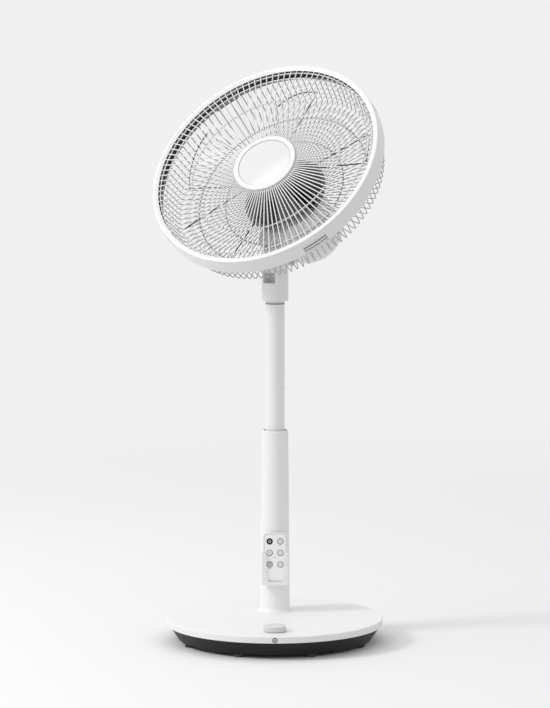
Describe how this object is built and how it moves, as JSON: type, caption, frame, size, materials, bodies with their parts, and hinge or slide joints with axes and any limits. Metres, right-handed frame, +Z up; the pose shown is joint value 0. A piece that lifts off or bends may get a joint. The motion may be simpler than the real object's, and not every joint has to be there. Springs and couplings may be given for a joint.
{
  "type": "pedestal fan",
  "caption": "Pedestal fan: weighted round base, telescopic column, swinging and tilting neck, caged head with clear blades, remote control in a holder on the column.",
  "frame": {"origin": "on the floor, under the middle of the round base, in the plane of the feet", "axes": "+Z up; -Y is the front of the base, where the dial and the remote control are; +X is to the right seen from the front. At rest the head is turned 30.6 degrees to the left seen from the front and tilted 40.1 degrees up."},
  "size_m": [0.3867, 0.4023, 0.9542],
  "materials": {
    "white_shell": "satin moulded plastic",
    "white_gloss": "glossy moulded plastic",
    "dark_plastic": "fine-textured dark moulding",
    "grey_plastic": "plain moulding",
    "black_gloss": "glossy dark window",
    "guard_coat": "white coated wire",
    "tube_coat": "white coated steel tube",
    "arm_coat": "white coated casting",
    "clear_blade": "clear moulding",
    "rubber": "matte",
    "steel": "bright zinc plate",
    "ballast": "painted casting",
    "board": "solder-masked board",
    "copper": "copper windings on steel laminations",
    "key_white": "moulded key",
    "key_grey": "moulded key",
    "key_black": "moulded key"
  },
  "bodies": {
    "stand": {"base_cover": "white_shell", "base_pan": "dark_plastic", "base_weight": "ballast", "rubber_feet": "rubber", "stand_screws": "steel", "control_board": "board", "encoder_body": "steel", "ir_window": "black_gloss", "power_inlet": "dark_plastic", "outer_column": "white_shell", "column_bolt": "steel", "column_bush": "dark_plastic", "button_spring": "steel", "remote_holder": "white_shell"},
    "dial": {"encoder_shaft": "steel", "speed_dial": "white_gloss"},
    "lock": {"height_button": "white_gloss"},
    "mast": {"inner_tube": "tube_coat", "tube_guide": "dark_plastic", "tube_plug": "grey_plastic", "thrust_washer": "white_gloss", "swing_clip": "steel", "swing_shaft": "steel"},
    "neck": {"neck_floor": "grey_plastic", "swing_motor": "steel", "neck_housing": "white_shell", "tilt_pin": "steel"},
    "head": {"tilt_arm": "arm_coat", "motor_housing": "white_shell", "motor_cover": "white_shell", "head_screws": "steel", "motor_can": "dark_plastic", "stator": "copper", "guard_nut": "dark_plastic", "hoop": "white_shell", "front_guard": "guard_coat", "rear_guard": "guard_coat", "latch_pins": "steel", "cap_ring": "white_shell", "cap_badge": "white_gloss", "cap_back": "white_shell", "motor_bearings": "steel"},
    "fan": {"fan_shaft": "steel", "rotor": "steel", "fan_blades": "clear_blade", "spinner_nut": "dark_plastic"},
    "latch_upper_right": {"latch_1": "white_shell"},
    "latch_upper_left": {"latch_2": "white_shell"},
    "latch_lower_left": {"latch_3": "white_shell"},
    "latch_lower_right": {"latch_4": "white_shell"},
    "remote": {"remote_case": "white_gloss", "remote_back": "white_shell", "remote_board": "board", "coin_cell": "steel"},
    "power_button": {"power_key": "key_black"},
    "button_2": {"key_2": "key_white"},
    "button_3": {"key_3": "key_white"},
    "button_4": {"key_4": "key_white"},
    "button_5": {"key_5": "key_grey"},
    "button_6": {"key_6": "key_white"}
  },
  "joints": [
    {"name": "dial_turn", "type": "hinge", "parent": "stand", "child": "dial", "pos_m": [0, -0.13, 0.045], "axis": [0, 0, 1], "continuous": true},
    {"name": "lock_press", "type": "slide", "parent": "stand", "child": "lock", "axis": [0, -1, 0], "range_m": [0, 0.0015], "stiffness_N_per_m": 800},
    {"name": "height_slide", "type": "slide", "parent": "stand", "child": "mast", "axis": [0, 0, 1], "range_m": [-0.187, 0.02]},
    {"name": "swing", "type": "hinge", "parent": "mast", "child": "neck", "pos_m": [0, 0.065, 0.566], "axis": [0, 0, 1], "range_deg": [-14.4, 75.6]},
    {"name": "tilt", "type": "hinge", "parent": "neck", "child": "head", "pos_m": [0, 0.065, 0.64], "axis": [-0.8607, 0.509, 0], "range_deg": [-50.1, 4.9]},
    {"name": "fan_spin", "type": "hinge", "parent": "head", "child": "fan", "pos_m": [0.01689, 0.09355, 0.74149], "axis": [-0.3894, -0.6584, 0.6441], "continuous": true},
    {"name": "latch_upper_right_flip", "type": "hinge", "parent": "head", "child": "latch_upper_right", "pos_m": [0.1557, 0.04962, 0.89927], "axis": [0.3768, -0.752, -0.5409], "range_deg": [0, 60]},
    {"name": "latch_upper_left_flip", "type": "hinge", "parent": "head", "child": "latch_upper_left", "pos_m": [-0.08848, 0.19403, 0.89927], "axis": [0.8405, 0.0321, 0.5409], "range_deg": [0, 60]},
    {"name": "latch_lower_left_flip", "type": "hinge", "parent": "head", "child": "latch_lower_left", "pos_m": [-0.1815, 0.03675, 0.68227], "axis": [-0.3768, 0.752, 0.5409], "range_deg": [0, 60]},
    {"name": "latch_lower_right_flip", "type": "hinge", "parent": "head", "child": "latch_lower_right", "pos_m": [0.06268, -0.10766, 0.68227], "axis": [-0.8405, -0.0321, -0.5409], "range_deg": [0, 60]},
    {"name": "remote_lift", "type": "slide", "parent": "stand", "child": "remote", "axis": [0, 0, 1], "range_m": [0, 0.055]},
    {"name": "power_button_press", "type": "slide", "parent": "remote", "child": "power_button", "axis": [0, 1, 0], "range_m": [0, 0.0006], "stiffness_N_per_m": 1600},
    {"name": "button_2_press", "type": "slide", "parent": "remote", "child": "button_2", "axis": [0, 1, 0], "range_m": [0, 0.0006], "stiffness_N_per_m": 1600},
    {"name": "button_3_press", "type": "slide", "parent": "remote", "child": "button_3", "axis": [0, 1, 0], "range_m": [0, 0.0006], "stiffness_N_per_m": 1600},
    {"name": "button_4_press", "type": "slide", "parent": "remote", "child": "button_4", "axis": [0, 1, 0], "range_m": [0, 0.0006], "stiffness_N_per_m": 1600},
    {"name": "button_5_press", "type": "slide", "parent": "remote", "child": "button_5", "axis": [0, 1, 0], "range_m": [0, 0.0006], "stiffness_N_per_m": 1600},
    {"name": "button_6_press", "type": "slide", "parent": "remote", "child": "button_6", "axis": [0, 1, 0], "range_m": [0, 0.0006], "stiffness_N_per_m": 1600}
  ]
}
